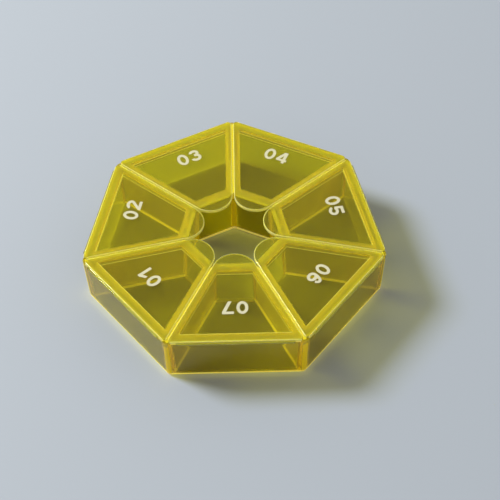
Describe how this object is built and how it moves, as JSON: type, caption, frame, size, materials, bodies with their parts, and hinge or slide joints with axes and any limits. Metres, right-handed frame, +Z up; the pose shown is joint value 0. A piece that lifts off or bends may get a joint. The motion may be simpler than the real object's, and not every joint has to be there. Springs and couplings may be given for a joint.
{
  "type": "weekly pill box",
  "caption": "Weekly pill box in clear yellow plastic: a heptagonal ring of compartments round a centre hole, each with a flat hinged lid and a thumb tab.",
  "frame": {"origin": "on the axis of the centre hole, in the plane of the base", "axes": "+Z up through the lids, +Y towards a corner of the ring, -Y towards the outer edge of lid 7"},
  "size_m": [0.0972, 0.0954, 0.0184],
  "materials": {
    "tray_plastic": "clear yellow moulded plastic, glossy",
    "lid_plastic": "clear yellow moulded plastic, glossy",
    "hinge_plastic": "clear yellow moulded plastic, thin and creased",
    "print_ink": "cream-white pad-printed ink"
  },
  "bodies": {
    "tray": {"tray": "tray_plastic", "hinge_web_1": "hinge_plastic", "hinge_web_2": "hinge_plastic", "hinge_web_3": "hinge_plastic", "hinge_web_4": "hinge_plastic", "hinge_web_5": "hinge_plastic", "hinge_web_6": "hinge_plastic", "hinge_web_7": "hinge_plastic"},
    "lid_1": {"lid_1": "lid_plastic"},
    "lid_2": {"lid_2": "lid_plastic"},
    "lid_3": {"lid_3": "lid_plastic"},
    "lid_4": {"lid_4": "lid_plastic"},
    "lid_5": {"lid_5": "lid_plastic"},
    "lid_6": {"lid_6": "lid_plastic"},
    "lid_7": {"lid_7": "lid_plastic"}
  },
  "joints": [
    {"name": "lid_1_hinge", "type": "hinge", "parent": "tray", "child": "lid_1", "pos_m": [-0.03568, -0.02846, 0.0174], "axis": [0.6235, -0.7818, 0], "range_deg": [0, 180], "deforming": ["hinge_web_1"]},
    {"name": "lid_2_hinge", "type": "hinge", "parent": "tray", "child": "lid_2", "pos_m": [-0.04449, 0.01016, 0.0174], "axis": [-0.2225, -0.9749, 0], "range_deg": [0, 180], "deforming": ["hinge_web_2"]},
    {"name": "lid_3_hinge", "type": "hinge", "parent": "tray", "child": "lid_3", "pos_m": [-0.0198, 0.04112, 0.0174], "axis": [-0.901, -0.4339, 0], "range_deg": [0, 180], "deforming": ["hinge_web_3"]},
    {"name": "lid_4_hinge", "type": "hinge", "parent": "tray", "child": "lid_4", "pos_m": [0.0198, 0.04112, 0.0174], "axis": [-0.901, 0.4339, 0], "range_deg": [0, 180], "deforming": ["hinge_web_4"]},
    {"name": "lid_5_hinge", "type": "hinge", "parent": "tray", "child": "lid_5", "pos_m": [0.04449, 0.01016, 0.0174], "axis": [-0.2225, 0.9749, 0], "range_deg": [0, 180], "deforming": ["hinge_web_5"]},
    {"name": "lid_6_hinge", "type": "hinge", "parent": "tray", "child": "lid_6", "pos_m": [0.03568, -0.02846, 0.0174], "axis": [0.6235, 0.7818, 0], "range_deg": [0, 180], "deforming": ["hinge_web_6"]},
    {"name": "lid_7_hinge", "type": "hinge", "parent": "tray", "child": "lid_7", "pos_m": [0, -0.04564, 0.0174], "axis": [1, 0, 0], "range_deg": [0, 180], "deforming": ["hinge_web_7"]}
  ]
}
